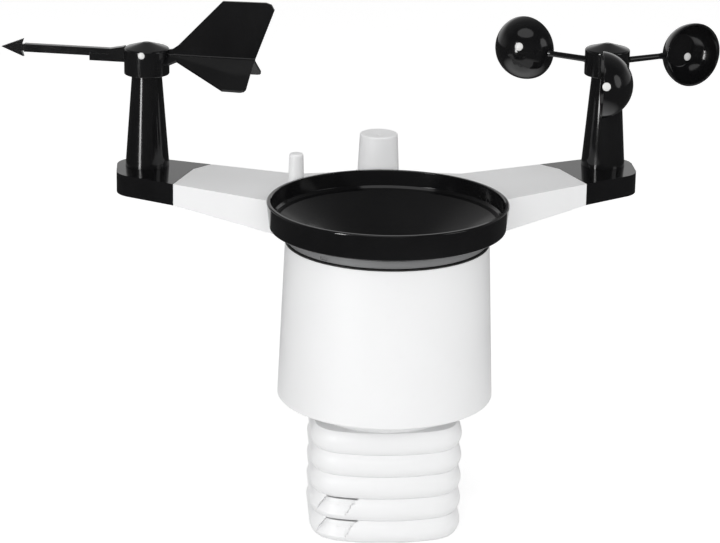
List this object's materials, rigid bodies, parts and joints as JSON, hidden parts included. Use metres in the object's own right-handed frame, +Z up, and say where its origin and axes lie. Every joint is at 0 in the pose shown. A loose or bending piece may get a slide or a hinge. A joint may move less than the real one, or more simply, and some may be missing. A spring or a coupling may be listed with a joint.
{
  "type": "home weather station",
  "caption": "Outdoor sensor head with a wind vane, cup rotor, rain funnel, tipping bucket and louvred climate shield on a pole socket.",
  "frame": {"origin": "centre of the pole socket mouth, on its axis", "axes": "+Z up along the pole, -Y towards the rain funnel (front), +X towards the cup rotor"},
  "size_m": [0.4035, 0.2071, 0.2667],
  "materials": {
    "white_plastic": "satin white ABS",
    "black_plastic": "glossy black ABS",
    "grey_plastic": "satin grey ABS",
    "seal_rubber": "matt black rubber",
    "steel": "plain steel",
    "natural_plastic": "natural moulded plastic",
    "board": "green circuit board",
    "radio_can": "dull metal can",
    "bush_brass": "sintered bronze",
    "magnet": "dark ferrite",
    "pin_pale": "pale pin heads",
    "cell_wrap": "plain cell sleeve"
  },
  "bodies": {
    "station": {"arm_frame": "white_plastic", "arm_cover": "white_plastic", "end_cap_left": "black_plastic", "end_cap_right": "black_plastic", "pole_socket": "white_plastic", "saddle_bracket": "white_plastic", "saddle_screws": "steel", "pole_screw": "steel", "pole_nut": "steel", "antenna_sleeve": "white_plastic", "gauge_body": "white_plastic", "gauge_deck": "white_plastic", "seal_ring": "seal_rubber", "bottom_plate": "white_plastic", "plate_screws": "steel", "gauge_floor": "natural_plastic", "bucket_cradle": "natural_plastic", "bucket_pin": "steel", "stop_screws": "steel", "drain_screens": "steel", "drain_tubes": "natural_plastic", "reed_switch": "board", "main_board": "board", "radio_module": "radio_can", "board_posts": "natural_plastic", "louvre_1": "white_plastic", "louvre_2": "white_plastic", "louvre_3": "white_plastic", "louvre_4": "white_plastic", "louvre_5": "white_plastic", "shield_core": "white_plastic", "shield_foot": "white_plastic", "tie_screws": "steel", "climate_board": "board", "climate_sensor": "natural_plastic", "vane_post": "black_plastic", "vane_bushings": "bush_brass", "vane_sensor_board": "board", "rotor_post": "black_plastic", "rotor_bushings": "bush_brass", "rotor_sensor_board": "board", "battery_cells": "cell_wrap"},
    "vane": {"vane_cap": "black_plastic", "vane_shaft": "steel", "vane_arrow": "black_plastic", "vane_tail": "black_plastic", "vane_screw": "pin_pale", "vane_magnet": "magnet"},
    "rotor": {"rotor_cap": "black_plastic", "rotor_shaft": "steel", "rotor_cups": "black_plastic", "cup_pins": "pin_pale", "rotor_magnet": "magnet"},
    "bucket": {"tipping_bucket": "black_plastic", "bucket_magnet": "magnet"},
    "collar": {"lock_collar": "grey_plastic"},
    "funnel": {"funnel": "black_plastic"},
    "filter": {"debris_filter": "black_plastic"},
    "battery_door": {"battery_door": "white_plastic"},
    "button": {"reset_button": "grey_plastic"}
  },
  "joints": [
    {"name": "vane_spin", "type": "hinge", "parent": "station", "child": "vane", "pos_m": [-0.1275, 0.0169, 0.11], "axis": [0, 0, 1], "continuous": true},
    {"name": "rotor_spin", "type": "hinge", "parent": "station", "child": "rotor", "pos_m": [0.1275, 0.0169, 0.11], "axis": [0, 0, 1], "continuous": true},
    {"name": "bucket_tip", "type": "hinge", "parent": "station", "child": "bucket", "pos_m": [0, -0.08, -0.00072], "axis": [0, -1, 0], "range_deg": [0, 28]},
    {"name": "collar_twist", "type": "hinge", "parent": "station", "child": "collar", "pos_m": [0, -0.08, 0.04], "axis": [0, 0, 1], "range_deg": [0, 20]},
    {"name": "funnel_lift", "type": "slide", "parent": "collar", "child": "funnel", "axis": [0, 0, 1], "range_m": [0, 0.06]},
    {"name": "filter_lift", "type": "slide", "parent": "funnel", "child": "filter", "axis": [0, 0, 1], "range_m": [0, 0.04]},
    {"name": "battery_door_open", "type": "hinge", "parent": "station", "child": "battery_door", "pos_m": [0.05018, -0.03503, 0.03472], "axis": [-0.5446, 0.8387, 0], "range_deg": [0, 100]},
    {"name": "reset_button_press", "type": "slide", "parent": "station", "child": "button", "axis": [0, 0, 1], "range_m": [0, 0.0008], "stiffness_N_per_m": 300}
  ]
}
